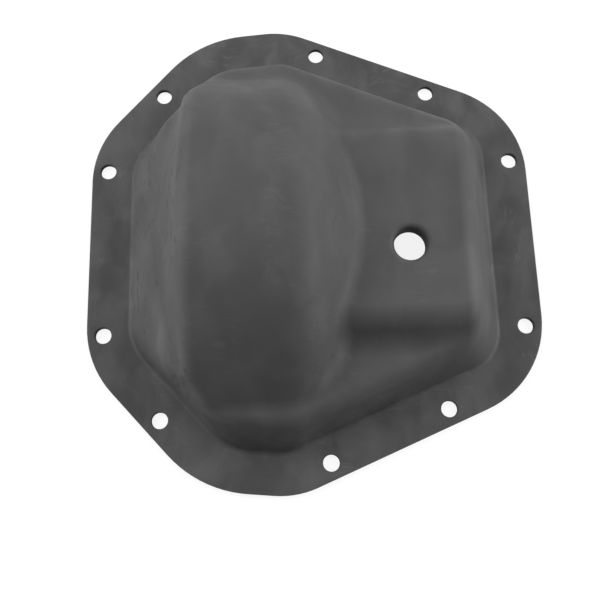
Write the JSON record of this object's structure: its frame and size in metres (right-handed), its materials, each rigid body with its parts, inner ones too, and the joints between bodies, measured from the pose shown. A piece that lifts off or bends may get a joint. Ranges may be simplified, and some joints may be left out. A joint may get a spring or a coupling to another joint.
{
  "type": "differential cover",
  "caption": "Pressed sheet-steel axle differential cover: flat bolted flange, domed ring gear bulge, lower carrier pocket and an off-centre fill hole.",
  "frame": {"origin": "middle of the flange outline's bounding box, on the gasket face", "axes": "+Z from the gasket face out through the dome; +X from the ring gear bulge towards the carrier pocket and its fill hole; +Y along the bulge, away from the fill hole's side of the centre line"},
  "size_m": [0.292, 0.318, 0.0832],
  "materials": {
    "coated_steel": "dark grey satin phosphate and oil coating on drawn sheet steel"
  },
  "bodies": {
    "root": {"cover": "coated_steel"}
  },
  "joints": []
}
